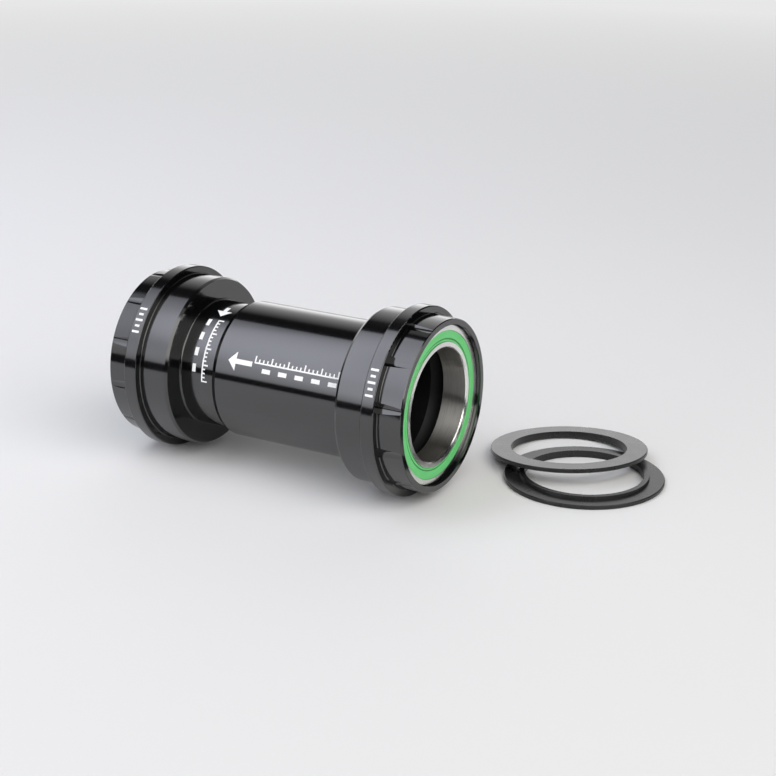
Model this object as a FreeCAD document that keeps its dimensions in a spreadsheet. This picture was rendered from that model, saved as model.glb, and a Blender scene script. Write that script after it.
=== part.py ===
"""Threaded press-fit bottom bracket for a 30 mm spindle, with its two loose bearing covers.

Frame of the model, in millimetres: the spindle axis is Y and +Y points to the non-drive
side; +Z is up; the origin is on the spindle axis, at the middle of the frame's shell. The
assembly lies on its two flanges, so the surface that it lies on is at Z = -flange radius.

Each cup is drawn in a frame of its own, with the flange's inner face at Y = 0 and +Y
outboard. A bearing's pieces are drawn about the bearing's centre, with +Y outboard too.
"""

import FreeCAD, Part

import math
import os
from types import SimpleNamespace

import Sketcher

ORIGIN = FreeCAD.Vector(0, 0, 0)
X_AXIS = FreeCAD.Vector(1, 0, 0)
Y_AXIS = FreeCAD.Vector(0, 1, 0)
Z_AXIS = FreeCAD.Vector(0, 0, 1)
SAME = 1e-4

# The driving sizes, in millimetres, apart from counts and the angles named as turns (degrees).
SIZES = {
    # spindle and bearings: the 30 x 42 x 7 size
    "spindle_diameter": 30.0,
    "bearing_section": 6.0,
    "bearing_width": 7.0,
    "race_chamfer": 0.25,
    "race_groove_depth": 0.7,
    "ball_diameter": 3.5,
    "ball_count": 18,
    "ball_play": 0.04,
    "cage_land_play": 0.3,
    "cage_pocket_play": 0.08,
    "cage_web": 0.3,
    "cage_finger_reach": 0.9,
    "seal_inner_seat_wall": 1.38,
    "seal_outer_seat_wall": 1.55,
    "seal_set_in": 0.12,
    "seal_thickness": 0.85,
    "seal_web_thickness": 0.55,
    "seal_rim_height": 0.5,
    "seal_lip_height": 0.55,
    "seal_lip_play": 0.07,
    "seal_dip": 0.14,
    "seal_core_thickness": 0.25,
    "seal_core_margin": 0.3,
    # frame shell, and the heads of the cups
    "shell_width": 68.0,
    "shell_standoff": 0.8,
    "seat_wall": 2.0,
    "press_length": 8.7,
    "press_lead_length": 0.75,
    "press_lead_height": 0.45,
    "flange_lip": 2.0,
    "flange_thickness": 3.75,
    "flange_round": 0.3,
    "corner_round": 0.3,
    "tool_wall": 1.67,
    "tool_taper": 0.33,
    "tool_length": 6.5,
    "tool_chamfer": 0.2,
    "notch_count": 12,
    "notch_depth": 0.13,
    "notch_cutter_radius": 2.5,
    "face_recess": 1.25,
    "mouth_chamfer": 0.1,
    "abutment_height": 1.5,
    "chamber_length": 1.5,
    "drive_side_turn": 17.2,
    "non_drive_side_turn": 22.5,
    # stub, sleeve, and the thread between them
    "spindle_clearance": 0.6,
    "stub_wall": 1.4,
    "stub_shown": 10.98,
    "stub_length": 30.0,
    "stub_land": 16.0,
    "stub_root_round": 0.5,
    "stub_tip_chamfer": 0.6,
    "thread_play": 0.1,
    "thread_pitch": 1.0,
    "thread_depth": 0.5,
    "thread_flat": 0.15,
    "thread_crest_drop": 0.05,
    "thread_overcut": 0.1,
    "sleeve_wall": 1.28,
    "sleeve_pilot": 9.0,
    "sleeve_thread_length": 14.6,
    "sleeve_bore_step": 0.5,
    "sleeve_lead_length": 1.2,
    "sleeve_lead_height": 0.45,
    "sleeve_root_round": 0.5,
    "seal_groove_depth": 0.8,
    "seal_groove_width": 1.3,
    "seal_groove_setback": 2.7,
    "seal_ring_play": 0.03,
    # loose bearing covers, and how they lie
    "cover_bore_play": 0.75,
    "cover_rim_lap": 0.4,
    "cover_flange": 1.15,
    "cover_collar": 0.85,
    "cover_collar_foot": 1.65,
    "cover_collar_top": 1.45,
    "cover_chamfer": 0.2,
    "cover_side_offset": 30.5,
    "cover_end_offset": 26.75,
    "cover_slip": 14.67,
    "cover_slip_turn": 40.7,
    "cover_rest_gap": 0.03,
}


class Size:
    """A length made of driving sizes: its expression, for bindings, and its value."""

    def __init__(self, expression, value):
        self.expression = expression
        self.value = value

    def __add__(self, other):
        return combine(self, "+", other, self.value + value_of(other))

    def __sub__(self, other):
        return combine(self, "-", other, self.value - value_of(other))

    def __mul__(self, other):
        return combine(self, "*", other, self.value * value_of(other))

    def __truediv__(self, other):
        return combine(self, "/", other, self.value / value_of(other))

    def __neg__(self):
        return Size(f"(-1 * {self.expression})", -self.value)


def value_of(item):
    return item.value if isinstance(item, Size) else item


def combine(left, sign, right, value):
    second = right.expression if isinstance(right, Size) else str(right)
    return Size(f"({left.expression} {sign} {second})", value)


given = SimpleNamespace(
    **{alias: Size(f"Sizes.{alias}", float(value)) for alias, value in SIZES.items()}
)

# Distances that the driving sizes fix.
ZERO = Size("0", 0.0)
SPINDLE_R = given.spindle_diameter / 2
PITCH_R = SPINDLE_R + given.bearing_section / 2
SEAT_R = SPINDLE_R + given.bearing_section
PRESS_R = SEAT_R + given.seat_wall
FLANGE_R = PRESS_R + given.flange_lip
TOOL_FACE_R = SEAT_R + given.tool_wall
TOOL_ROOT_R = TOOL_FACE_R + given.tool_taper
ABUTMENT_R = SEAT_R - given.abutment_height
STUB_BORE_R = SPINDLE_R + given.spindle_clearance
STUB_R = STUB_BORE_R + given.stub_wall
STUB_THREAD_R = STUB_R - given.thread_crest_drop
SEAL_GROOVE_R = STUB_R - given.seal_groove_depth
PILOT_R = STUB_R + given.thread_play
SLEEVE_R = PILOT_R + given.sleeve_wall
SLEEVE_BORE_R = PILOT_R - given.sleeve_bore_step
HEAD_LENGTH = given.flange_thickness + given.tool_length
SEAT_END = HEAD_LENGTH - given.face_recess - given.bearing_width
BEARING_CENTRE = SEAT_END + given.bearing_width / 2
CHAMBER_END = SEAT_END - given.chamber_length
FLANGE_GAP = given.shell_width + given.shell_standoff
SLEEVE_REACH = FLANGE_GAP - given.press_length - given.stub_shown
SLEEVE_THREAD_START = SLEEVE_REACH - given.sleeve_pilot
SLEEVE_THREAD_END = SLEEVE_THREAD_START - given.sleeve_thread_length
STUB_REACH = given.press_length + given.stub_length
LAND_REACH = given.press_length + given.stub_land
SEAL_GROOVE_REACH = given.press_length + given.stub_shown + given.seal_groove_setback
BALL_R = given.ball_diameter / 2
RACE_GROOVE_R = BALL_R + given.ball_play
POCKET_R = BALL_R + given.cage_pocket_play
INNER_LAND_R = PITCH_R - BALL_R + given.race_groove_depth
OUTER_LAND_R = PITCH_R + BALL_R - given.race_groove_depth
HALF_WIDTH = given.bearing_width / 2
SEAL_INNER_SEAT_R = SPINDLE_R + given.seal_inner_seat_wall
SEAL_OUTER_SEAT_R = SEAT_R - given.seal_outer_seat_wall
SEAL_LIP_R = SEAL_INNER_SEAT_R + given.seal_lip_play
SEAL_LIP_TOP_R = SEAL_LIP_R + given.seal_lip_height
SEAL_RIM_R = SEAL_OUTER_SEAT_R - given.seal_rim_height
SEAL_FACE = HALF_WIDTH - given.seal_set_in
SEAL_WEB_BACK = SEAL_FACE - given.seal_web_thickness
SEAL_BACK = SEAL_FACE - given.seal_thickness
COVER_BORE_R = SPINDLE_R + given.cover_bore_play
COVER_R = SEAT_R + given.cover_rim_lap
COVER_HEIGHT = given.cover_flange + given.cover_collar

doc = FreeCAD.newDocument("BottomBracket")
sheet = doc.addObject("Spreadsheet::Sheet", "Sizes")
for row, (alias, value) in enumerate(SIZES.items(), start=1):
    sheet.set(f"A{row}", alias)
    sheet.set(f"B{row}", str(value))
    sheet.setAlias(f"B{row}", alias)
doc.recompute()

sub_parts = []


def new_body(name):
    """An empty body, whose label names its file."""
    body = doc.addObject("PartDesign::Body", name)
    body.Label = name
    sub_parts.append(body)
    return body


def origin_feature(body, role):
    """The plane or axis of the body's own origin that has this role."""
    for feature in body.Origin.OriginFeatures:
        if feature.Role == role:
            return feature
    raise ValueError(f"{body.Label} has no {role}")


def new_sketch(body, name, plane):
    """A sketch on one of the body's own origin planes."""
    sketch = body.newObject("Sketcher::SketchObject", name)
    sketch.AttachmentSupport = [(origin_feature(body, plane), "")]
    sketch.MapMode = "FlatFace"
    return sketch


def constrain(sketch, kind, geometry, size):
    """Adds a constraint and binds it to the sheet."""
    index = sketch.addConstraint(Sketcher.Constraint(kind, *geometry, size.value))
    sketch.setExpression(f"Constraints[{index}]", size.expression)


def draw_outline(sketch, corners):
    """A closed outline of straight edges, with each corner's two distances bound."""
    places = [FreeCAD.Vector(across.value, along.value, 0) for across, along in corners]
    followers = places[1:] + places[:1]
    for start, end in zip(places, followers):
        sketch.addGeometry(Part.LineSegment(start, end), False)
    for index in range(len(corners)):
        following = (index + 1) % len(corners)
        joined = Sketcher.Constraint("Coincident", index, 2, following, 1)
        sketch.addConstraint(joined)
    for index, (across, along) in enumerate(corners):
        constrain(sketch, "DistanceX", (-1, 1, index, 1), across)
        constrain(sketch, "DistanceY", (-1, 1, index, 1), along)


def draw_circle(sketch, across, along, radius):
    """A circle with its centre and its radius bound."""
    centre = FreeCAD.Vector(across.value, along.value, 0)
    index = sketch.addGeometry(Part.Circle(centre, Z_AXIS, radius.value), False)
    constrain(sketch, "DistanceX", (-1, 1, index, 3), across)
    constrain(sketch, "DistanceY", (-1, 1, index, 3), along)
    constrain(sketch, "Radius", (index,), radius)


def revolve(body, corners, plane="XY_Plane"):
    """Turns an outline of (radius, place along the axis) corners into a solid."""
    sketch = new_sketch(body, "section", plane)
    draw_outline(sketch, corners)
    turned = body.newObject("PartDesign::Revolution", "turned")
    turned.Profile = sketch
    turned.ReferenceAxis = (sketch, ["V_Axis"])
    turned.Angle = 360
    doc.recompute()


def must_remove(body, before, name):
    """Stops the build if a cut took nothing away."""
    if body.Shape.Volume > before - SAME:
        raise ValueError(f"{body.Label}: {name} removed nothing")


def turn_groove(body, name, draw, *sizes):
    """Cuts a groove round the axis, of the section that draw makes from the sizes."""
    sketch = new_sketch(body, f"{name}_section", "XY_Plane")
    draw(sketch, *sizes)
    before = body.Shape.Volume
    groove = body.newObject("PartDesign::Groove", name)
    groove.Profile = sketch
    groove.ReferenceAxis = (sketch, ["V_Axis"])
    groove.Angle = 360
    doc.recompute()
    must_remove(body, before, name)
    return groove


def cut_pocket(body, name, sketch, length):
    """Cuts a sketch's circle to a bound length, against the sketch plane's normal."""
    before = body.Shape.Volume
    pocket = body.newObject("PartDesign::Pocket", name)
    pocket.Profile = sketch
    pocket.Type = "Length"
    pocket.setExpression("Length", length.expression)
    pocket.Reversed = True
    doc.recompute()
    must_remove(body, before, name)
    return pocket


def repeat_inboard(body, feature, count):
    """Repeats a thread turn inboard, a pitch at a time."""
    before = body.Shape.Volume
    pattern = body.newObject("PartDesign::LinearPattern", f"{feature.Name}_row")
    pattern.Originals = [feature]
    pattern.Direction = (origin_feature(body, "Y_Axis"), [""])
    pattern.Reversed = True
    pattern.Occurrences = count
    pattern.setExpression("Length", f"Sizes.thread_pitch * {count - 1}")
    body.Tip = pattern
    doc.recompute()
    must_remove(body, before, pattern.Name)


def repeat_round(body, feature, count):
    """Repeats a cut evenly round the axis."""
    before = body.Shape.Volume
    pattern = body.newObject("PartDesign::PolarPattern", f"{feature.Name}_ring")
    pattern.Originals = [feature]
    pattern.Axis = (origin_feature(body, "Y_Axis"), [""])
    pattern.Angle = 360
    pattern.setExpression("Occurrences", count.expression)
    body.Tip = pattern
    doc.recompute()
    must_remove(body, before, pattern.Name)


def round_edges(body, name, rings, radius):
    """Rounds the circular edges at these (radius, place along the axis) rings."""
    wanted = [(across.value, along.value) for across, along in rings]
    feature = body.Tip
    edges = []
    for index, edge in enumerate(feature.Shape.Edges, start=1):
        if isinstance(edge.Curve, Part.Circle):
            place = (edge.Curve.Radius, edge.Curve.Center.y)
            if any(math.dist(place, ring) < SAME for ring in wanted):
                edges.append(f"Edge{index}")
    if len(edges) < len(wanted):
        raise ValueError(f"{body.Label}: {name} found {len(edges)} edges")
    fillet = body.newObject("PartDesign::Fillet", name)
    fillet.Base = (feature, edges)
    fillet.setExpression("Radius", radius.expression)
    doc.recompute()


def head_outside():
    """The outside of a cup's head, from the shell seat's lead-in to the face."""
    return [
        (PRESS_R - given.press_lead_height, -given.press_length),
        (PRESS_R, given.press_lead_length - given.press_length),
        (PRESS_R, ZERO),
        (FLANGE_R, ZERO),
        (FLANGE_R, given.flange_thickness),
        (TOOL_ROOT_R, given.flange_thickness),
        (TOOL_FACE_R, HEAD_LENGTH - given.tool_chamfer),
        (TOOL_FACE_R - given.tool_chamfer, HEAD_LENGTH),
    ]


def head_inside(bore):
    """The inside of a cup's head: mouth, bearing seat, abutment, and the cone to the bore."""
    return [
        (SEAT_R + given.mouth_chamfer, HEAD_LENGTH),
        (SEAT_R, HEAD_LENGTH - given.mouth_chamfer),
        (SEAT_R, SEAT_END),
        (ABUTMENT_R, SEAT_END),
        (ABUTMENT_R, CHAMBER_END),
        (bore, CHAMBER_END - (ABUTMENT_R - bore)),
    ]


def round_head(body, neck_r, neck_round):
    """Rounds the neck's root, the flange's rim and the two corners at the flange's foot."""
    round_edges(body, "neck_root", [(neck_r, -given.press_length)], neck_round)
    rim = [(FLANGE_R, ZERO), (FLANGE_R, given.flange_thickness)]
    round_edges(body, "flange_rim", rim, given.flange_round)
    foot = [(PRESS_R, ZERO), (TOOL_ROOT_R, given.flange_thickness)]
    round_edges(body, "flange_foot", foot, given.corner_round)


def cut_tool_notches(body):
    """Cuts the tool notches, whose round floors run parallel to the axis up to the flange."""
    sketch = new_sketch(body, "notch_section", "XZ_Plane")
    centre = TOOL_FACE_R - given.notch_depth + given.notch_cutter_radius
    draw_circle(sketch, ZERO, centre, given.notch_cutter_radius)
    sketch.setExpression("AttachmentOffset.Base.z", (-HEAD_LENGTH).expression)
    notch = cut_pocket(body, "notch", sketch, given.tool_length)
    repeat_round(body, notch, given.notch_count)


def cut_thread(body, wall_r, depth, outer_end, length):
    """Cuts a thread's turns, as parallel grooves, inboard from outer_end.

    depth is negative into a shaft and positive into a bore.
    """
    overcut = given.thread_overcut
    if depth.value > 0:
        overcut = -overcut
    middle = outer_end - given.thread_pitch
    half_mouth = given.thread_pitch / 2 - given.thread_flat
    half_root = given.thread_flat / 2
    section = [
        (wall_r + overcut, middle + half_mouth),
        (wall_r + depth, middle + half_root),
        (wall_r + depth, middle - half_root),
        (wall_r + overcut, middle - half_mouth),
    ]
    turn = turn_groove(body, "thread_turn", draw_outline, section)
    repeat_inboard(body, turn, int(length.value / given.thread_pitch.value) - 1)


def drive_side_cup():
    """The drive-side cup, in one piece with the sleeve that crosses the shell."""
    body = new_body("drive_side_cup")
    sleeve = [
        (SLEEVE_R - given.sleeve_lead_height, -SLEEVE_REACH),
        (SLEEVE_R, given.sleeve_lead_length - SLEEVE_REACH),
        (SLEEVE_R, -given.press_length),
    ]
    socket = [
        (SLEEVE_BORE_R, -SLEEVE_THREAD_END),
        (PILOT_R, -SLEEVE_THREAD_END),
        (PILOT_R, -SLEEVE_REACH),
    ]
    revolve(body, sleeve + head_outside() + head_inside(SLEEVE_BORE_R) + socket)
    round_head(body, SLEEVE_R, given.sleeve_root_round)
    start = given.sleeve_thread_length - SLEEVE_THREAD_END
    cut_thread(body, PILOT_R, given.thread_depth, start, given.sleeve_thread_length)
    cut_tool_notches(body)
    return body


def non_drive_side_cup():
    """The non-drive-side cup, with the stub that screws into the sleeve."""
    body = new_body("non_drive_side_cup")
    stub = [
        (STUB_THREAD_R - given.stub_tip_chamfer, -STUB_REACH),
        (STUB_THREAD_R, given.stub_tip_chamfer - STUB_REACH),
        (STUB_THREAD_R, -LAND_REACH),
        (STUB_R, -LAND_REACH),
        (STUB_R, -given.press_length),
    ]
    bore = [(STUB_BORE_R, -STUB_REACH)]
    revolve(body, stub + head_outside() + head_inside(STUB_BORE_R) + bore)
    round_head(body, STUB_R, given.stub_root_round)
    half_groove = given.seal_groove_width / 2
    beyond = STUB_R + given.seal_groove_depth
    section = [
        (SEAL_GROOVE_R, -SEAL_GROOVE_REACH - half_groove),
        (beyond, -SEAL_GROOVE_REACH - half_groove),
        (beyond, half_groove - SEAL_GROOVE_REACH),
        (SEAL_GROOVE_R, half_groove - SEAL_GROOVE_REACH),
    ]
    turn_groove(body, "seal_groove", draw_outline, section)
    threaded = given.stub_length - given.stub_land
    cut_thread(body, STUB_THREAD_R, -given.thread_depth, -LAND_REACH, threaded)
    cut_tool_notches(body)
    return body


def race(name, wall_r, chamfer_r, seat_r, land_r):
    """A bearing race: its fitted wall, its land with the ball groove, and two seal seats."""
    body = new_body(name)
    edge = HALF_WIDTH - given.race_chamfer
    outline = [
        (wall_r, -edge),
        (chamfer_r, -HALF_WIDTH),
        (seat_r, -HALF_WIDTH),
        (seat_r, -SEAL_BACK),
        (land_r, -SEAL_BACK),
        (land_r, SEAL_BACK),
        (seat_r, SEAL_BACK),
        (seat_r, HALF_WIDTH),
        (chamfer_r, HALF_WIDTH),
        (wall_r, edge),
    ]
    revolve(body, outline)
    turn_groove(body, "ball_groove", draw_circle, PITCH_R, ZERO, RACE_GROOVE_R)
    return body


def outer_race(side):
    """The outer race, held in the cup's seat."""
    chamfer_r = SEAT_R - given.race_chamfer
    return race(f"{side}_outer_race", SEAT_R, chamfer_r, SEAL_OUTER_SEAT_R, OUTER_LAND_R)


def inner_race(side):
    """The inner race, which the spindle turns."""
    chamfer_r = SPINDLE_R + given.race_chamfer
    return race(f"{side}_inner_race", SPINDLE_R, chamfer_r, SEAL_INNER_SEAT_R, INNER_LAND_R)


def ball_cage(side):
    """The ball cage: a crown with drilled pockets that open inboard."""
    body = new_body(f"{side}_ball_cage")
    inner_r = INNER_LAND_R + given.cage_land_play
    outer_r = OUTER_LAND_R - given.cage_land_play
    front = -given.cage_finger_reach
    back = POCKET_R + given.cage_web
    revolve(body, [(inner_r, front), (outer_r, front), (outer_r, back), (inner_r, back)])
    sketch = new_sketch(body, "pocket_section", "YZ_Plane")
    draw_circle(sketch, ZERO, ZERO, POCKET_R)
    pocket = cut_pocket(body, "pocket", sketch, SEAT_R)
    repeat_round(body, pocket, given.ball_count)
    return body


def balls(side):
    """The balls on their pitch circle, as one group of separate solids."""
    group = doc.addObject("Part::Compound", f"{side}_balls")
    group.Label = f"{side}_balls"
    spheres = []
    for index in range(int(given.ball_count.value)):
        ball = doc.addObject("Part::Sphere", f"{side}_ball")
        turn = f"{index} * 360 deg / Sizes.ball_count"
        ball.setExpression("Radius", BALL_R.expression)
        ball.setExpression("Placement.Base.x", f"{PITCH_R.expression} * cos({turn})")
        ball.setExpression("Placement.Base.z", f"{PITCH_R.expression} * sin({turn})")
        spheres.append(ball)
    group.Links = spheres
    sub_parts.append(group)
    return group


def facing(outline, end):
    """The outline as it is for the outboard end, and mirrored for the inboard end."""
    if end == "outboard":
        return outline
    return [(across, -along) for across, along in reversed(outline)]


def seal(side, end):
    """A rubber seal: rim, web with a dip beside the lip, and the lip near the inner race."""
    body = new_body(f"{side}_{end}_seal")
    dip = given.seal_dip
    dip_r = SEAL_LIP_TOP_R + dip
    outline = [
        (SEAL_LIP_R, SEAL_BACK),
        (SEAL_LIP_R, SEAL_FACE - dip),
        (SEAL_LIP_TOP_R, SEAL_FACE - dip),
        (dip_r, SEAL_FACE - dip * 2),
        (dip_r + dip * 2, SEAL_FACE),
        (SEAL_OUTER_SEAT_R, SEAL_FACE),
        (SEAL_OUTER_SEAT_R, SEAL_BACK),
        (SEAL_RIM_R, SEAL_BACK),
        (SEAL_RIM_R, SEAL_WEB_BACK),
        (SEAL_LIP_TOP_R, SEAL_WEB_BACK),
        (SEAL_LIP_TOP_R, SEAL_BACK),
    ]
    revolve(body, facing(outline, end))
    return body


def seal_core(side, end):
    """The steel washer bonded to the back of a seal's web, which keeps the seal flat."""
    body = new_body(f"{side}_{end}_seal_core")
    back = SEAL_WEB_BACK - given.seal_core_thickness
    inner_r = SEAL_LIP_TOP_R + given.seal_core_margin
    outline = [
        (inner_r, back),
        (SEAL_RIM_R, back),
        (SEAL_RIM_R, SEAL_WEB_BACK),
        (inner_r, SEAL_WEB_BACK),
    ]
    revolve(body, facing(outline, end))
    return body


def thread_o_ring():
    """The rubber ring in the stub's groove, at its fitted size."""
    ring = doc.addObject("Part::Torus", "thread_o_ring")
    ring.Label = "thread_o_ring"
    play = given.seal_ring_play
    section_r = (given.seal_groove_depth + given.thread_play) / 2 - play
    ring.setExpression("Radius1", (SEAL_GROOVE_R + play + section_r).expression)
    ring.setExpression("Radius2", section_r.expression)
    sub_parts.append(ring)
    return ring


def bearing_cover(name):
    """A bearing cover: a flat ring with a low tapered collar, its axis along its own Z."""
    body = new_body(name)
    edge = given.cover_chamfer
    inner_edge = edge / 2
    outline = [
        (COVER_BORE_R + inner_edge, ZERO),
        (COVER_R - edge, ZERO),
        (COVER_R, edge),
        (COVER_R, given.cover_flange - edge),
        (COVER_R - edge, given.cover_flange),
        (COVER_BORE_R + given.cover_collar_foot, given.cover_flange),
        (COVER_BORE_R + given.cover_collar_top, COVER_HEIGHT),
        (COVER_BORE_R + inner_edge, COVER_HEIGHT),
        (COVER_BORE_R, COVER_HEIGHT - inner_edge),
        (COVER_BORE_R, inner_edge),
    ]
    revolve(body, outline, plane="XZ_Plane")
    return body


def place_drive_side(item, along):
    """Turns a part to face the drive side, along mm outboard of the cup's flange face."""
    flip = FreeCAD.Rotation(Z_AXIS, 180)
    turn = FreeCAD.Rotation(Y_AXIS, given.drive_side_turn.value)
    item.Placement = FreeCAD.Placement(ORIGIN, flip.multiply(turn))
    place = -(given.shell_width / 2 + along)
    item.setExpression("Placement.Base.y", place.expression)


def place_non_drive_side(item, along):
    """Places a part on the non-drive side, along mm outboard of the cup's flange face."""
    turn = FreeCAD.Rotation(Y_AXIS, given.non_drive_side_turn.value)
    item.Placement = FreeCAD.Placement(ORIGIN, turn)
    place = FLANGE_GAP - given.shell_width / 2 + along
    item.setExpression("Placement.Base.y", place.expression)


def place_thread_o_ring(ring):
    """Lays the ring in its groove, with its axis along the spindle."""
    ring.Placement = FreeCAD.Placement(ORIGIN, FreeCAD.Rotation(X_AXIS, 90))
    place = FLANGE_GAP - given.shell_width / 2 - SEAL_GROOVE_REACH
    ring.setExpression("Placement.Base.y", place.expression)


def place_covers(lower, upper):
    """Lays one cover flat, collar up, with the other leaning on it, collar down.

    The upper cover has slipped sideways. Its collar's far edge meets the surface, and its
    near part rests where the two collars cross, at the crossing's furthest point.
    """
    bore_r = COVER_BORE_R.value
    collar_r = bore_r + given.cover_collar_top.value
    height = COVER_HEIGHT.value
    slip = given.cover_slip.value
    gap = given.cover_rest_gap.value
    face = given.shell_width.value / 2 + HEAD_LENGTH.value
    along = -(face + given.cover_end_offset.value)
    centre = FreeCAD.Vector(given.cover_side_offset.value, along, -FLANGE_R.value)
    lower.Placement = FreeCAD.Placement(centre, FreeCAD.Rotation())
    crossing = (collar_r**2 - bore_r**2 + slip**2) / (2 * slip)
    far_edge = slip + collar_r
    slope = math.atan2(height + gap, far_edge - crossing)
    rise = (far_edge - slip) * math.tan(slope) + height / math.cos(slope) + gap
    heading = math.radians(given.cover_slip_turn.value)
    forward = FreeCAD.Vector(math.cos(heading), math.sin(heading), 0)
    lean = FreeCAD.Rotation(Z_AXIS.cross(forward), math.degrees(slope))
    turned_over = FreeCAD.Rotation(X_AXIS, 180)
    top = centre + forward * slip + Z_AXIS * rise
    upper.Placement = FreeCAD.Placement(top, lean.multiply(turned_over))


def bearing(side):
    """The pieces of one bearing."""
    pieces = [outer_race(side), inner_race(side), ball_cage(side), balls(side)]
    for end in ("outboard", "inboard"):
        pieces.append(seal(side, end))
        pieces.append(seal_core(side, end))
    return pieces


def build():
    """Makes and places every sub-part."""
    sides = (
        ("drive_side", drive_side_cup, place_drive_side),
        ("non_drive_side", non_drive_side_cup, place_non_drive_side),
    )
    for side, cup, place in sides:
        place(cup(), ZERO)
        for piece in bearing(side):
            place(piece, BEARING_CENTRE)
    place_thread_o_ring(thread_o_ring())
    place_covers(bearing_cover("lower_bearing_cover"), bearing_cover("upper_bearing_cover"))
    doc.recompute()


def check():
    """Stops the build if an object failed or a sub-part is not sound."""
    for item in doc.Objects:
        if "Invalid" in item.State or "Error" in item.State:
            raise ValueError(f"{item.Label} failed: {item.State}")
    for item in sub_parts:
        if item.Shape.isNull() or not item.Shape.isValid():
            raise ValueError(f"{item.Label} is not a valid shape")


def write():
    """Writes one STEP file for each sub-part, named by its label."""
    os.makedirs("parts", exist_ok=True)
    for item in sub_parts:
        item.Shape.exportStep(os.path.join("parts", f"{item.Label}.step"))
        print(f"{item.Label}: {len(item.Shape.Solids)} solids, {item.Shape.Volume:.2f} mm3")


build()
check()
write()
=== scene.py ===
"""Looks of the threaded bottom bracket: finishes, printed marks, studio and camera.

Everything is in metres, in the frame of the CAD model: the spindle axis is Y, +Y points to the
non-drive side, +Z is up, and the bracket lies on its two flanges.
"""

import math

import bmesh
import bpy
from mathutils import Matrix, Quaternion, Vector


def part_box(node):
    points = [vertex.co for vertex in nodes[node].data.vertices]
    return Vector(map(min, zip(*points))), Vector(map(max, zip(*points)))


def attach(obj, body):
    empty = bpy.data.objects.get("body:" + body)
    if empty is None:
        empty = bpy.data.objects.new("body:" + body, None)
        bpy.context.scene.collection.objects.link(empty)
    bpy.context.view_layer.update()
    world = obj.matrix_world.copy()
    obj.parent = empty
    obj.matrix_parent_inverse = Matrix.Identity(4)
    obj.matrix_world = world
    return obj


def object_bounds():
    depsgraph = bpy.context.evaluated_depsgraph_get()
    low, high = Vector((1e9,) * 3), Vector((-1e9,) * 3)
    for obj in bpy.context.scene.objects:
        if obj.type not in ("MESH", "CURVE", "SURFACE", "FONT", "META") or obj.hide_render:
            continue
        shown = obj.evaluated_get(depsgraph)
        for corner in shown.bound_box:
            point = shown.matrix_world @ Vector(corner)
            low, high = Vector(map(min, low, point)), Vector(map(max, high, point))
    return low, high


MM = 0.001
SPINDLE = Vector((0, 1, 0))
SIDES = ("drive_side", "non_drive_side")

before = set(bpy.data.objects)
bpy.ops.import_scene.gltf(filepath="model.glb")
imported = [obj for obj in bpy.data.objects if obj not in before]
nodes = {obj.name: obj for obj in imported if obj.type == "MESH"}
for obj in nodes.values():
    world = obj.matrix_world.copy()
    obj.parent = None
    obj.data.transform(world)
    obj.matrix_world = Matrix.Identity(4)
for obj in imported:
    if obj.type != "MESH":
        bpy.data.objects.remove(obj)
cad_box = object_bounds()


# ---------------------------------------------------------------- shader building

SOCKETS = {
    "base_color": "Base Color",
    "metallic": "Metallic",
    "roughness": "Roughness",
    "ior": "IOR",
    "normal": "Normal",
    "tangent": "Tangent",
    "anisotropic": "Anisotropic",
    "anisotropic_rotation": "Anisotropic Rotation",
}

# The Mix node's sockets for colours, which share their names with its other sockets.
MIX_LOW, MIX_HIGH, MIX_RESULT = 6, 7, 2

FACING_IN = -0.2  # cosine between normal and outward direction, below which a face looks inwards
SQUARE_ON = 0.7  # cosine between normal and spindle, above which a face is an end face
QUARTER_TURN = 0.25


def as_colour(value):
    """A socket as it is, or three numbers with the fourth that a colour socket takes."""
    return value if isinstance(value, bpy.types.NodeSocket) else (*value, 1)


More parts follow.
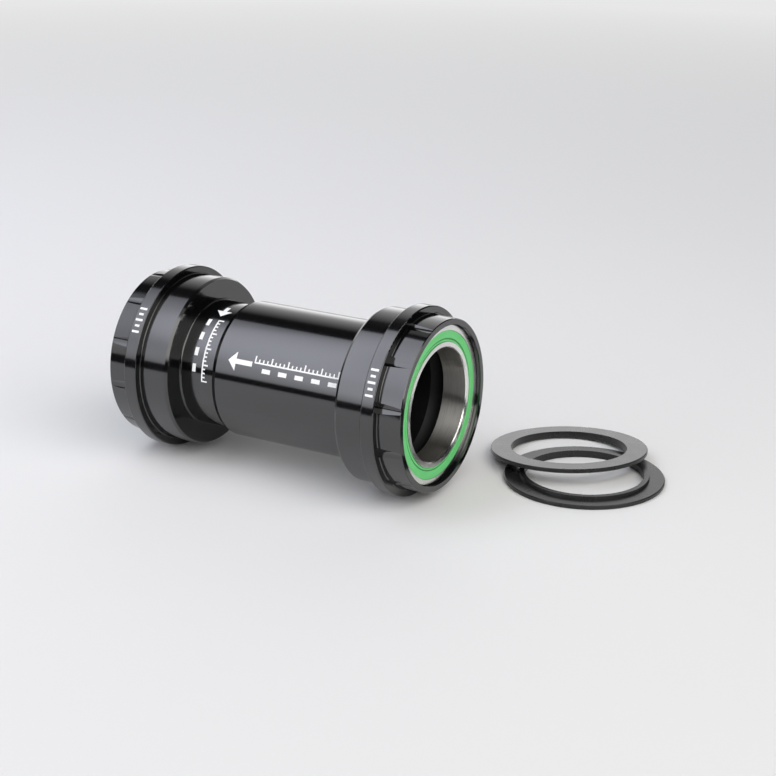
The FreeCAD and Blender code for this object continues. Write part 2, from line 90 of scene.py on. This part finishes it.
class Finish:
    """One material, built as nodes round a Principled shader."""

    def __init__(self, name):
        self.material = bpy.data.materials.new(name)
        self.material.use_nodes = True
        self.tree = self.material.node_tree
        self.surface = self.tree.nodes["Principled BSDF"]

    def add(self, kind, values, **settings):
        """Adds a node, sets or links its inputs by name or number, and returns the node."""
        made = self.tree.nodes.new(kind)
        for key, value in settings.items():
            setattr(made, key, value)
        for socket, value in values.items():
            self.feed(made.inputs[socket], value)
        return made

    def feed(self, socket, value):
        """Links a socket to another's output, or sets it to a plain value."""
        if isinstance(value, bpy.types.NodeSocket):
            self.tree.links.new(value, socket)
        else:
            socket.default_value = value

    def set(self, **values):
        """Sets the Principled shader's sockets: base_color stands for Base Color."""
        for key, value in values.items():
            self.feed(self.surface.inputs[SOCKETS[key]], value)

    def maths(self, operation, *values):
        """The result of a Math node."""
        return self.add("ShaderNodeMath", dict(enumerate(values)), operation=operation).outputs[0]

    def vector_maths(self, operation, *values):
        """A Vector Math node, whose outputs are Vector and Value."""
        return self.add("ShaderNodeVectorMath", dict(enumerate(values)), operation=operation)

    def noise(self, vector, scale, detail=2.0, roughness=0.5):
        """Noise between 0 and 1 over these coordinates."""
        values = {"Vector": vector, "Scale": scale, "Detail": detail, "Roughness": roughness}
        return self.add("ShaderNodeTexNoise", values).outputs["Fac"]

    def between(self, low, high, factor):
        """A number that goes from low to high as the factor goes from 0 to 1."""
        values = {"Value": factor, "To Min": low, "To Max": high}
        return self.add("ShaderNodeMapRange", values).outputs["Result"]

    def blend(self, low, high, factor):
        """A colour that goes from low to high as the factor goes from 0 to 1."""
        values = {0: factor, MIX_LOW: as_colour(low), MIX_HIGH: as_colour(high)}
        return self.add("ShaderNodeMix", values, data_type="RGBA").outputs[MIX_RESULT]

    def bump(self, height, distance, normal=None):
        """A bumped normal. The height is between 0 and 1, and the distance is in metres."""
        values = {"Height": height, "Distance": distance, "Strength": 1.0}
        if normal is not None:
            values["Normal"] = normal
        return self.add("ShaderNodeBump", values).outputs["Normal"]

    def place(self):
        """Each point's place in the CAD frame."""
        return self.add("ShaderNodeTexCoord", {}).outputs["Object"]

    def turned(self, centre, axis):
        """Lathe coordinates: (distance from the axis, distance along it, 0)."""
        offset = self.vector_maths("SUBTRACT", self.place(), centre).outputs["Vector"]
        along = self.vector_maths("DOT_PRODUCT", offset, axis).outputs["Value"]
        on_axis = self.add("ShaderNodeVectorMath", {0: axis, "Scale": along}, operation="SCALE")
        across = self.vector_maths("DISTANCE", offset, on_axis.outputs["Vector"])
        values = {"X": across.outputs["Value"], "Y": along}
        return self.add("ShaderNodeCombineXYZ", values).outputs["Vector"]

    def inside_of(self, reach, lathe):
        """1 on surfaces nearer to the spindle axis than this that face it, and 0 elsewhere."""
        distance = self.add("ShaderNodeSeparateXYZ", {"Vector": lathe}).outputs["X"]
        flat = self.vector_maths("MULTIPLY", self.place(), (1, 0, 1)).outputs["Vector"]
        normal = self.add("ShaderNodeTexCoord", {}).outputs["Normal"]
        outwards = self.vector_maths("DOT_PRODUCT", normal, flat).outputs["Value"]
        share = self.maths("DIVIDE", outwards, distance)
        facing = self.maths("LESS_THAN", share, FACING_IN)
        return self.maths("MULTIPLY", facing, self.maths("LESS_THAN", distance, reach))

    def brushed(self, round_scale, across_scale):
        """Coordinates that draw noise out into streaks round the spindle axis."""
        place = self.place()
        flat = self.vector_maths("MULTIPLY", place, (1, 0, 1)).outputs["Vector"]
        distance = self.vector_maths("LENGTH", flat).outputs["Value"]
        heading = self.add("ShaderNodeVectorMath", {0: flat}, operation="NORMALIZE")
        values = {0: heading.outputs["Vector"], "Scale": round_scale}
        turn = self.add("ShaderNodeVectorMath", values, operation="SCALE")
        depth = self.vector_maths("DOT_PRODUCT", place, SPINDLE).outputs["Value"]
        across = self.maths("MULTIPLY", self.maths("ADD", distance, depth), across_scale)
        step = self.add("ShaderNodeCombineXYZ", {"Y": across}).outputs["Vector"]
        return self.vector_maths("ADD", turn.outputs["Vector"], step).outputs["Vector"]

    def end_faces(self):
        """1 on faces square to the spindle axis, and 0 on the round ones."""
        normal = self.add("ShaderNodeTexCoord", {}).outputs["Normal"]
        along = self.vector_maths("DOT_PRODUCT", normal, SPINDLE).outputs["Value"]
        return self.maths("GREATER_THAN", self.maths("ABSOLUTE", along), SQUARE_ON)

    def groove_round_spindle(self, amount):
        """Spreads the highlights across the fine grooves that turning leaves."""
        tangent = self.add("ShaderNodeTangent", {}, direction_type="RADIAL", axis="Y")
        self.set(
            tangent=tangent.outputs["Tangent"],
            anisotropic=amount,
            anisotropic_rotation=QUARTER_TURN,
        )

    def ring(self, radius, half_width, distance):
        """1 on the circle of this radius, fading to 0 about half a width away from it."""
        away = self.maths("ABSOLUTE", self.maths("SUBTRACT", distance, radius))
        values = {
            "Value": away,
            "From Min": half_width * 0.5,
            "From Max": half_width * 1.5,
            "To Min": 1.0,
            "To Max": 0.0,
        }
        return self.add("ShaderNodeMapRange", values).outputs["Result"]


# ---------------------------------------------------------------- finishes

BORE_REACH = 20 * MM  # the bores of sleeve and stub lie within this of the axis, the seats beyond
END_FACE_CLEAR = 0.85  # how far a ground end face loses the streaks and the painted shade of the round faces
# Widths and strength of the seal's painted shade in its dip and painted shadow line at its rim,
# and the rim's distance from the dip.
DIP_HALF_WIDTH = 0.13 * MM
RIM_HALF_WIDTH = 0.07 * MM
DIP_SHADE = 0.75
RIM_TO_DIP = 2.31 * MM


def gloss_anodised(name):
    """Glossy black anodised aluminium with faint turning marks, rougher inside the bore, where its
    reflections are also darkened as painted shade.
    """
    finish = Finish(name)
    lathe = finish.turned((0, 0, 0), SPINDLE)
    marks = finish.noise(lathe, 3200.0, detail=4.0, roughness=0.6)
    bands = finish.noise(lathe, 600.0, detail=1.0)
    haze = finish.noise(finish.place(), 160.0, detail=4.0)
    outside = finish.between(0.08, 0.15, marks)
    inside = finish.inside_of(BORE_REACH, lathe)
    finish.set(
        base_color=finish.blend((0.0015, 0.0016, 0.0019), (0.003, 0.0031, 0.0036), haze),
        # Metallic over the near-black colour inside the bore darkens its reflections there:
        # painted shade.
        metallic=finish.maths("MULTIPLY", inside, 0.75),
        roughness=finish.between(outside, 0.5, inside),
        ior=1.85,
        normal=finish.bump(bands, 0.4e-6, finish.bump(marks, 0.3e-6)),
    )
    finish.groove_round_spindle(0.4)
    return finish.material


def satin_anodised(name, centre, axis):
    """Satin black anodised aluminium with a fine blasted grain over the turning marks."""
    finish = Finish(name)
    marks = finish.noise(finish.turned(centre, axis), 5000.0, detail=3.0)
    grain = finish.noise(finish.place(), 7000.0, detail=2.0, roughness=0.6)
    haze = finish.noise(finish.place(), 220.0, detail=4.0)
    finish.set(
        base_color=finish.blend((0.012, 0.012, 0.0122), (0.019, 0.019, 0.0195), haze),
        roughness=finish.between(0.24, 0.32, haze),
        ior=1.42,
        normal=finish.bump(grain, 2.5e-6, finish.bump(marks, 0.5e-6)),
    )
    return finish.material


def ground_steel(name):
    """Bearing steel, ground round the spindle, with the streaks that the grinding leaves, and
    darker on its round faces than on its end faces as painted shade in the bore.
    """
    finish = Finish(name)
    streaks = finish.noise(finish.brushed(1.6, 4200.0), 1.0, detail=3.0, roughness=0.6)
    fine = finish.noise(finish.brushed(5.0, 14000.0), 1.0, detail=2.0)
    broad_share = finish.maths("MULTIPLY", streaks, 0.65)
    fine_share = finish.maths("MULTIPLY", fine, 0.35)
    tone = finish.maths("ADD", broad_share, fine_share)
    round_faces = finish.between(0.27, 0.37, tone)
    ends = finish.end_faces()
    # The round faces' colour: streaks from the grinding, and a darker level overall as painted
    # shade in the bore.
    streaked_shaded_walls = finish.blend((0.4, 0.39, 0.37), (0.93, 0.91, 0.87), tone)
    clear = finish.maths("MULTIPLY", ends, END_FACE_CLEAR)
    finish.set(
        base_color=finish.blend(streaked_shaded_walls, (0.93, 0.925, 0.91), clear),
        metallic=1.0,
        roughness=finish.between(round_faces, 0.2, ends),
        normal=finish.bump(streaks, 0.8e-6),
    )
    finish.groove_round_spindle(0.95)
    return finish.material


def polished_steel(name):
    """Polished ball steel."""
    finish = Finish(name)
    haze = finish.noise(finish.place(), 900.0, detail=3.0)
    finish.set(
        base_color=finish.blend((0.7, 0.7, 0.7), (0.78, 0.78, 0.77), haze),
        metallic=1.0,
        roughness=finish.between(0.05, 0.1, haze),
    )
    return finish.material


def plated_steel(name):
    """Zinc-plated sheet steel with a dull, slightly mottled plating."""
    finish = Finish(name)
    mottle = finish.noise(finish.place(), 1400.0, detail=4.0)
    finish.set(
        base_color=finish.blend((0.38, 0.39, 0.4), (0.56, 0.57, 0.58), mottle),
        metallic=1.0,
        roughness=finish.between(0.3, 0.5, mottle),
        normal=finish.bump(mottle, 1.0e-6),
    )
    return finish.material


def seal_rubber(name, dip_radius, rim_radius):
    """Bright green moulded seal rubber, with painted shade down in the dip and a painted shadow
    line at the rim's edge.
    """
    finish = Finish(name)
    lathe = finish.turned((0, 0, 0), SPINDLE)
    distance = finish.add("ShaderNodeSeparateXYZ", {"Vector": lathe}).outputs["X"]
    rings = finish.noise(lathe, 4000.0, detail=2.0)
    pores = finish.noise(finish.place(), 5200.0, detail=3.0)
    cloud = finish.noise(finish.place(), 240.0, detail=2.0)
    green = finish.blend((0.12, 0.55, 0.17), (0.16, 0.64, 0.215), cloud)
    # Painted shade in the dip and a painted shadow line at the rim's edge, mixed in below as a
    # dark green.
    dip = finish.ring(dip_radius, DIP_HALF_WIDTH, distance)
    rim = finish.ring(rim_radius, RIM_HALF_WIDTH, distance)
    shade = finish.maths("MAXIMUM", finish.maths("MULTIPLY", dip, DIP_SHADE), rim)
    finish.set(
        base_color=finish.blend(green, (0.012, 0.075, 0.02), shade),
        roughness=finish.between(0.38, 0.52, pores),
        ior=1.5,
        normal=finish.bump(pores, 1.5e-6, finish.bump(rings, 1.5e-6)),
    )
    return finish.material


def black_rubber(name):
    """Black rubber of the thread's ring."""
    finish = Finish(name)
    pores = finish.noise(finish.place(), 4000.0, detail=3.0)
    finish.set(
        base_color=finish.blend((0.012, 0.012, 0.012), (0.022, 0.022, 0.022), pores),
        roughness=finish.between(0.45, 0.6, pores),
        ior=1.5,
        normal=finish.bump(pores, 3e-6),
    )
    return finish.material


def filled_nylon(name):
    """Dark glass-filled nylon, with short fibres that speckle its skin."""
    finish = Finish(name)
    fibres = finish.noise(finish.place(), 3200.0, detail=5.0, roughness=0.7)
    finish.set(
        base_color=finish.blend((0.03, 0.03, 0.032), (0.075, 0.075, 0.08), fibres),
        roughness=finish.between(0.45, 0.6, fibres),
        ior=1.53,
        normal=finish.bump(fibres, 4e-6),
    )
    return finish.material


def white_ink(name):
    """White printing ink with the slight unevenness of a screen print."""
    finish = Finish(name)
    mottle = finish.noise(finish.place(), 2600.0, detail=3.0)
    finish.set(
        base_color=finish.blend((0.84, 0.84, 0.83), (0.92, 0.92, 0.91), mottle),
        roughness=finish.between(0.4, 0.55, mottle),
        ior=1.5,
        normal=finish.bump(mottle, 2e-6),
    )
    return finish.material


def axis_of(node):
    """The centre of a ring's box, and the direction of its largest flat face."""
    low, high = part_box(node.name)
    flat = max(node.data.polygons, key=lambda face: face.area)
    return (low + high) / 2, flat.normal.copy()


def dress(node, material):
    """Puts one material on every slot of a CAD node."""
    for slot in node.material_slots:
        slot.material = material


def dress_nodes():
    """Gives each CAD node its finish."""
    gloss = gloss_anodised("gloss_black_anodised")
    steel = ground_steel("ground_bearing_steel")
    chrome = polished_steel("polished_ball_steel")
    plated = plated_steel("plated_core_steel")
    rim_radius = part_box("drive_side_outboard_seal")[1].z
    green = seal_rubber("green_seal_rubber", rim_radius - RIM_TO_DIP, rim_radius)
    nylon = filled_nylon("filled_cage_nylon")
    for side in SIDES:
        dress(nodes[f"{side}_cup"], gloss)
        dress(nodes[f"{side}_outer_race"], steel)
        dress(nodes[f"{side}_inner_race"], steel)
        dress(nodes[f"{side}_balls"], chrome)
        dress(nodes[f"{side}_ball_cage"], nylon)
        for end in ("outboard", "inboard"):
            dress(nodes[f"{side}_{end}_seal"], green)
            dress(nodes[f"{side}_{end}_seal_core"], plated)
    dress(nodes["thread_o_ring"], black_rubber("black_ring_rubber"))
    for name in ("lower_bearing_cover", "upper_bearing_cover"):
        cover = nodes[name]
        dress(cover, satin_anodised(f"satin_black_{name}", *axis_of(cover)))


# ---------------------------------------------------------------- printed marks

INK_THICKNESS = 0.015 * MM
INK_STRIP = 0.4 * MM  # width of the strips that let a flat outline bend round a part
TALL_TICK_EVERY = 4

# The upper halves of the arrows' outlines in millimetres, from the tip backwards.
SLEEVE_ARROW = [(0, 0), (-2.35, 2.55), (-2.35, 0.66), (-7.4, 0.66)]
STUB_ARROW = [(0, 0), (-2.3, 2.3), (-2.3, 0.62), (-4.3, 0.62)]


def both_sides(half):
    """A closed outline from its upper half, mirrored about the first coordinate's axis."""
    lower = [(along, -across) for along, across in reversed(half) if across]
    return half + lower


def bar(start, end, low, high):
    """A rectangle's outline."""
    return [(start, low), (end, low), (end, high), (start, high)]


def ruler(steps, pitch, low, line, short, tall):
    """A scale's outlines: a line with a tick at each step, and a taller one at every fourth."""
    half = line / 2
    outlines = [bar(-half, steps * pitch + half, low, low + line)]
    for step in range(steps + 1):
        reach = short if step % TALL_TICK_EVERY else tall
        middle = step * pitch
        outlines.append(bar(middle - half, middle + half, low + line, low + reach))
    return outlines


def scale_blocks(count, length, low, high):
    """A scale bar's outlines: blocks of one length, with gaps as long as the blocks."""
    return [bar(index * length, (index + 1) * length, low, high) for index in range(0, count, 2)]


def index_bars(count, pitch, stroke, short, tall):
    """A row of upright bars' outlines, tall and short in turn, about the origin."""
    outlines = []
    for index in range(count):
        middle = (index - (count - 1) / 2) * pitch
        reach = (short if index % 2 else tall) / 2
        outlines.append(bar(middle - stroke / 2, middle + stroke / 2, -reach, reach))
    return outlines


def turned_upright(outlines):
    """The same outlines, with their first coordinate running down round the part."""
    return [[(-across, -along) for along, across in outline] for outline in outlines]


def radius_at(node, along):
    """A turned node's outer radius at this place along the spindle."""
    outside = Vector((-1, along, 0))
    found, point, _, _ = node.ray_cast(outside, Vector((1, 0, 0)))
    if not found:
        raise ValueError(f"{node.name} has no surface at {along}")
    return math.hypot(point.x, point.z)


def print_marks(name, body, node, along, height, outlines, ink):
    """Prints flat outlines, in millimetres, on a node's round side.

    The outlines' first coordinate runs along the spindle from `along`, and the second runs up
    round the part from `height` degrees above the horizontal, on the camera's side.
    """
    radius = radius_at(node, along) + INK_THICKNESS / 2
    sheet = bmesh.new()
    for outline in outlines:
        corners = [sheet.verts.new((u * MM, v * MM, 0)) for u, v in outline]
        sheet.faces.new(corners)
    lowest = min(vertex.co.y for vertex in sheet.verts)
    highest = max(vertex.co.y for vertex in sheet.verts)
    for index in range(1, math.ceil((highest - lowest) / INK_STRIP)):
        cut = Vector((0, lowest + index * INK_STRIP, 0))
        parts = sheet.verts[:] + sheet.edges[:] + sheet.faces[:]
        bmesh.ops.bisect_plane(sheet, geom=parts, plane_co=cut, plane_no=Vector((0, 1, 0)))
    for vertex in sheet.verts:
        turn = math.radians(height) + vertex.co.y / radius
        place = along + vertex.co.x
        vertex.co = (-radius * math.cos(turn), place, radius * math.sin(turn))
    bmesh.ops.recalc_face_normals(sheet, faces=sheet.faces[:])
    mesh = bpy.data.meshes.new(name)
    sheet.to_mesh(mesh)
    sheet.free()
    piece = bpy.data.objects.new(name, mesh)
    bpy.context.scene.collection.objects.link(piece)
    mesh.materials.append(ink)
    thicken = piece.modifiers.new("ink", "SOLIDIFY")
    thicken.thickness = INK_THICKNESS
    thicken.offset = 0
    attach(piece, body)


def print_all():
    """The arrows, and plain scales and index bars where the real one has its wording."""
    ink = white_ink("white_ink")
    drive_cup = nodes["drive_side_cup"]
    other_cup = nodes["non_drive_side_cup"]
    sleeve_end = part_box("drive_side_cup")[1].y
    sleeve_arrow = [both_sides(SLEEVE_ARROW)]
    sleeve_scale = ruler(steps=20, pitch=1.25, low=0.35, line=0.4, short=1.2, tall=2.0)
    sleeve_scale += scale_blocks(count=10, length=2.5, low=-1.85, high=-0.7)
    stub_arrow = turned_upright([both_sides(STUB_ARROW)])
    stub_scale = ruler(steps=16, pitch=1.1, low=0.5, line=0.4, short=1.1, tall=1.8)
    stub_scale += scale_blocks(count=7, length=2.2, low=-2.5, high=-1.4)
    stub_scale = turned_upright(stub_scale)
    index = turned_upright(index_bars(count=5, pitch=1.65, stroke=0.6, short=1.4, tall=2.2))
    # name, cup, millimetres past the sleeve's end, degrees above the horizontal, outlines
    jobs = (
        ("sleeve_arrow", drive_cup, -4.6, 24.9, sleeve_arrow),
        ("sleeve_scale", drive_cup, -37.8, 25.0, sleeve_scale),
        ("stub_arrow", other_cup, 4.5, 66.0, stub_arrow),
        ("stub_scale", other_cup, 4.6, 60.5, stub_scale),
        ("drive_side_index", drive_cup, -51.0, 27.0, index),
        ("non_drive_side_index", other_cup, 21.6, 37.5, index),
    )
    for name, cup, past_end, height, outlines in jobs:
        print_marks(name, cup.name, cup, sleeve_end + past_end * MM, height, outlines, ink)


# ---------------------------------------------------------------- studio

PALE = 0.8
DARK = 0.02
COOL = (0.955, 0.975, 1.09)
WARM = (1.0, 0.985, 0.955)
WHITE = (1, 1, 1)

FLOOR_RADIUS = 8.0
FLOOR_GAP = 0.02 * MM  # keeps the floor from touching what lies on it
FLOOR_FADE = (0.3, 1.0)  # metres from the origin over which the floor fades into the distance
ROOM_FADE = (0.12, 0.45)  # heights of a direction over which the room goes from pale to dim
CARD_DISTANCE = 0.3  # metres from the origin
CARD_STEP = 5  # degrees between the folds of a card

# name, azimuth, elevation, distance, across, upwards, radiance, spread, tint: angles in degrees
LAMPS = (
    ("key", 180, 56, 0.85, (-37, -26.8), (-54.5, 46.5), 4.35, 126, COOL),
    ("key_left", 180, 56, 0.85, (-51, -37), (-54.5, 46.5), 3.0, 126, COOL),
    ("key_right", 180, 56, 0.85, (-26.8, -14), (-54.5, 46.5), 3.3, 126, COOL),
    ("near_side", 180, 50, 1.1, (-8, 24), (-32, 32), 0.75, 140, WHITE),
    ("far_side", 0, 45, 1.1, (-8, 26), (-25, 25), 0.45, 140, WHITE),
    ("back", 30, 8, 1.0, (-35, 35), (-7.5, 40), 1.4, 84, WHITE),
    ("front", -120, 33, 0.9, (-35, 35), (-26, 28), 2.6, 140, WARM),
    ("wash", -95, 50, 1.6, (-20, 20), (-20, 20), 1.1, 170, WARM),
)

# name, start and end azimuth, height in degrees above the horizontal as seen from the origin
FLAGS = (
    ("key_flag", 60, 190, 3.5),
    ("front_flag", 190, 265, 9.0),
    ("right_flag", 265, 340, 28.0),
)


def around(azimuth, elevation):
    """The direction at this compass angle from +X towards +Y, and at this height."""
    turn = math.radians(azimuth)
    rise = math.radians(elevation)
    flat = math.cos(rise)
    return Vector((flat * math.cos(turn), flat * math.sin(turn), math.sin(rise)))


def softbox(name, azimuth, elevation, distance, across, upwards, radiance, spread, tint):
    """A rectangular soft light, square to this direction and unseen by the camera itself.

    It reaches between these two angles to the left and right, and down and up, as the bracket
    sees it. The radiance is what the bracket sees at the place where the light faces it. A lamp
    with a narrower spread is brighter for its energy, which the narrowing allows for.
    """
    left, right = (distance * math.tan(math.radians(angle)) for angle in across)
    low, high = (distance * math.tan(math.radians(angle)) for angle in upwards)
    facing = around(azimuth, elevation)
    turn = (-facing).to_track_quat("-Z", "Y")
    width, height = right - left, high - low
    half_spread = math.radians(spread) / 2
    narrowing = 1 - half_spread / math.tan(half_spread)
    light = bpy.data.lights.new(name, "AREA")
    light.shape = "RECTANGLE"
    light.size = width
    light.size_y = height
    light.energy = radiance * math.pi * width * height * narrowing
    light.spread = 2 * half_spread
    light.color = tint
    lamp = bpy.data.objects.new(name, light)
    sideways = turn @ Vector(((left + right) / 2, (low + high) / 2, 0))
    lamp.location = facing * distance + sideways
    lamp.rotation_mode = "QUATERNION"
    lamp.rotation_quaternion = turn
    lamp.visible_camera = False
    bpy.context.scene.collection.objects.link(lamp)
    return lamp


def seen_rays(tree):
    """1 for what the camera sees, directly or in metal or through glass, and 0 for lighting."""
    path = tree.nodes.new("ShaderNodeLightPath")
    total = path.outputs["Is Camera Ray"]
    for name in ("Is Glossy Ray", "Is Transmission Ray"):
        add = tree.nodes.new("ShaderNodeMath")
        add.operation = "MAXIMUM"
        tree.links.new(total, add.inputs[0])
        tree.links.new(path.outputs[name], add.inputs[1])
        total = add.outputs[0]
    return total


def make_floor():
    """A plain pale floor, which fades into an evenly pale distance beyond the lamps."""
    sheet = bmesh.new()
    bmesh.ops.create_circle(sheet, cap_ends=True, segments=96, radius=FLOOR_RADIUS)
    mesh = bpy.data.meshes.new("floor")
    sheet.to_mesh(mesh)
    sheet.free()
    floor = bpy.data.objects.new("floor", mesh)
    floor.location.z = cad_box[0].z - FLOOR_GAP
    bpy.context.scene.collection.objects.link(floor)
    finish = Finish("pale_floor")
    haze = finish.noise(finish.place(), 3.0, detail=2.0)
    finish.set(base_color=finish.blend((PALE - 0.01,) * 3, (PALE,) * 3, haze), roughness=0.75)
    reach = finish.vector_maths("LENGTH", finish.place()).outputs["Value"]
    values = {"Value": reach, "From Min": FLOOR_FADE[0], "From Max": FLOOR_FADE[1]}
    far = finish.add("ShaderNodeMapRange", values)
    share = finish.maths("MULTIPLY", far.outputs["Result"], seen_rays(finish.tree))
    glow = finish.add("ShaderNodeEmission", {"Color": (PALE, PALE, PALE, 1)})
    values = {0: share, 1: finish.surface.outputs["BSDF"], 2: glow.outputs["Emission"]}
    mixed = finish.add("ShaderNodeMixShader", values)
    output = finish.tree.nodes["Material Output"]
    finish.feed(output.inputs["Surface"], mixed.outputs["Shader"])
    finish.material.cycles.emission_sampling = "NONE"
    mesh.materials.append(finish.material)


def make_flag(name, start, end, top):
    """A black card that stands on the floor between two azimuths, seen only in reflections."""
    low = cad_box[0].z
    high = CARD_DISTANCE * math.tan(math.radians(top))
    sheet = bmesh.new()
    previous = None
    for azimuth in range(start, end + CARD_STEP, CARD_STEP):
        foot = around(azimuth, 0) * CARD_DISTANCE
        pair = [sheet.verts.new((foot.x, foot.y, z)) for z in (low, high)]
        if previous:
            sheet.faces.new((previous[0], pair[0], pair[1], previous[1]))
        previous = pair
    mesh = bpy.data.meshes.new(name)
    sheet.to_mesh(mesh)
    sheet.free()
    flag = bpy.data.objects.new(name, mesh)
    bpy.context.scene.collection.objects.link(flag)
    mesh.materials.append(black_card(f"{name}_card"))
    for ray in ("camera", "diffuse", "shadow", "transmission"):
        setattr(flag, f"visible_{ray}", False)


def black_card(name):
    """Matt black card with a slight unevenness."""
    finish = Finish(name)
    mottle = finish.noise(finish.place(), 30.0)
    finish.set(base_color=finish.blend((0.003,) * 3, (0.005,) * 3, mottle), roughness=0.9)
    return finish.material


def make_flags():
    """Cards that hide the pale horizon at the key's foot, before the bore, and to its right."""
    for row in FLAGS:
        make_flag(*row)


def light_scene():
    """A key in three strips, two dim side lights, a back light, a front light and a wash."""
    lamps = {row[0]: softbox(*row) for row in LAMPS}
    lamps["wash"].visible_glossy = False


def make_room():
    """A room that is pale low down, as the floor is, and dim overhead."""
    world = bpy.data.worlds.new("room")
    world.use_nodes = True
    tree = world.node_tree
    background = tree.nodes["Background"]
    direction = tree.nodes.new("ShaderNodeTexCoord").outputs["Generated"]
    height = tree.nodes.new("ShaderNodeSeparateXYZ")
    tree.links.new(direction, height.inputs["Vector"])
    sweep = tree.nodes.new("ShaderNodeMapRange")
    sweep.interpolation_type = "SMOOTHSTEP"
    low, high = ROOM_FADE
    for name, value in (("From Min", low), ("From Max", high), ("To Min", PALE), ("To Max", DARK)):
        sweep.inputs[name].default_value = value
    tree.links.new(height.outputs["Z"], sweep.inputs["Value"])
    seen = tree.nodes.new("ShaderNodeMapRange")
    seen.inputs["To Min"].default_value = DARK
    tree.links.new(seen_rays(tree), seen.inputs["Value"])
    tree.links.new(sweep.outputs["Result"], seen.inputs["To Max"])
    background.inputs["Color"].default_value = (1, 1, 1, 1)
    tree.links.new(seen.outputs["Result"], background.inputs["Strength"])
    world.cycles.sampling_method = "NONE"
    bpy.context.scene.world = world


# ---------------------------------------------------------------- camera

AIM = Vector((-5.82, -31.21, 4.23)) * MM
CAMERA_DISTANCE = 460 * MM
CAMERA_AZIMUTH = -60.44
CAMERA_ELEVATION = 19.16
CAMERA_ROLL = 0.6
LENS = 83.56


def make_camera():
    """The camera, turned about the aim point: azimuth 0 would look along +Y."""
    turn = math.radians(CAMERA_AZIMUTH)
    rise = math.radians(CAMERA_ELEVATION)
    flat = math.cos(rise)
    back = Vector((flat * math.sin(turn), -flat * math.cos(turn), math.sin(rise)))
    data = bpy.data.cameras.new("camera")
    data.lens = LENS
    data.clip_start = 0.01
    camera = bpy.data.objects.new("camera", data)
    camera.location = AIM + back * CAMERA_DISTANCE
    camera.rotation_mode = "QUATERNION"
    roll = Quaternion((0, 0, 1), math.radians(CAMERA_ROLL))
    camera.rotation_quaternion = (-back).to_track_quat("-Z", "Y") @ roll
    bpy.context.scene.collection.objects.link(camera)
    bpy.context.scene.camera = camera


dress_nodes()
print_all()
make_floor()
make_flags()
light_scene()
make_room()
make_camera()
bpy.context.scene.view_settings.view_transform = "Standard"
